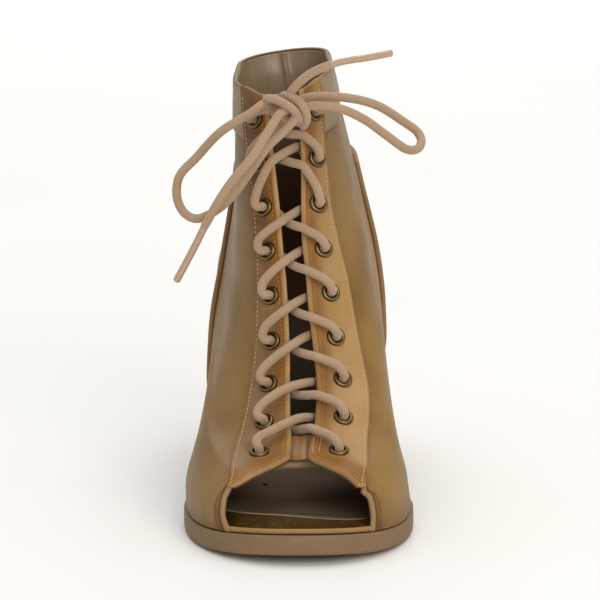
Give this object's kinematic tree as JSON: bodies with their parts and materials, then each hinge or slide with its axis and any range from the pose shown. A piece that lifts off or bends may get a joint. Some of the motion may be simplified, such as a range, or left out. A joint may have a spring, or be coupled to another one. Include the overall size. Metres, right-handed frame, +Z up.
{
  "type": "peep toe ankle boot",
  "caption": "Lace-up ankle boot for the right foot, with a peep toe, an open throat, a thin sole and a block heel.",
  "frame": {"origin": "on the ground under the middle of the boot's length and width", "axes": "-Y towards the toe, +X towards the big toe side, +Z up"},
  "size_m": [0.1035, 0.2273, 0.1878],
  "materials": {
    "upper_leather": "tan, lightly burnished, satin",
    "counter_leather": "darker tan with a folded edge",
    "trim_leather": "golden tan",
    "sole_rubber": "taupe brown, matt",
    "heel_block": "taupe brown, matt",
    "insole_sock": "dark grey-brown, matt",
    "eyelet_brass": "antique",
    "lace_cord": "braided, pinkish beige"
  },
  "bodies": {
    "root": {"outsole": "sole_rubber", "heel": "heel_block", "insole": "insole_sock", "toe_wrap": "trim_leather", "upper": "upper_leather", "heel_counter": "counter_leather", "collar_band": "upper_leather", "throat_tab": "trim_leather", "eyelet_inner_1": "eyelet_brass", "eyelet_inner_2": "eyelet_brass", "eyelet_inner_3": "eyelet_brass", "eyelet_inner_4": "eyelet_brass", "eyelet_inner_5": "eyelet_brass", "eyelet_inner_6": "eyelet_brass", "eyelet_inner_7": "eyelet_brass", "eyelet_inner_8": "eyelet_brass", "eyelet_inner_9": "eyelet_brass", "eyelet_outer_1": "eyelet_brass", "eyelet_outer_2": "eyelet_brass", "eyelet_outer_3": "eyelet_brass", "eyelet_outer_4": "eyelet_brass", "eyelet_outer_5": "eyelet_brass", "eyelet_outer_6": "eyelet_brass", "eyelet_outer_7": "eyelet_brass", "eyelet_outer_8": "eyelet_brass", "eyelet_outer_9": "eyelet_brass", "lace_bar": "lace_cord", "lace_cross_1": "lace_cord", "lace_cross_2": "lace_cord", "lace_cross_3": "lace_cord", "lace_cross_4": "lace_cord", "lace_cross_5": "lace_cord", "lace_cross_6": "lace_cord", "lace_cross_7": "lace_cord", "lace_cross_8": "lace_cord", "lace_knot": "lace_cord", "lace_loop_outer": "lace_cord", "lace_loop_inner": "lace_cord", "lace_end_outer": "lace_cord", "lace_end_inner": "lace_cord"}
  },
  "joints": []
}
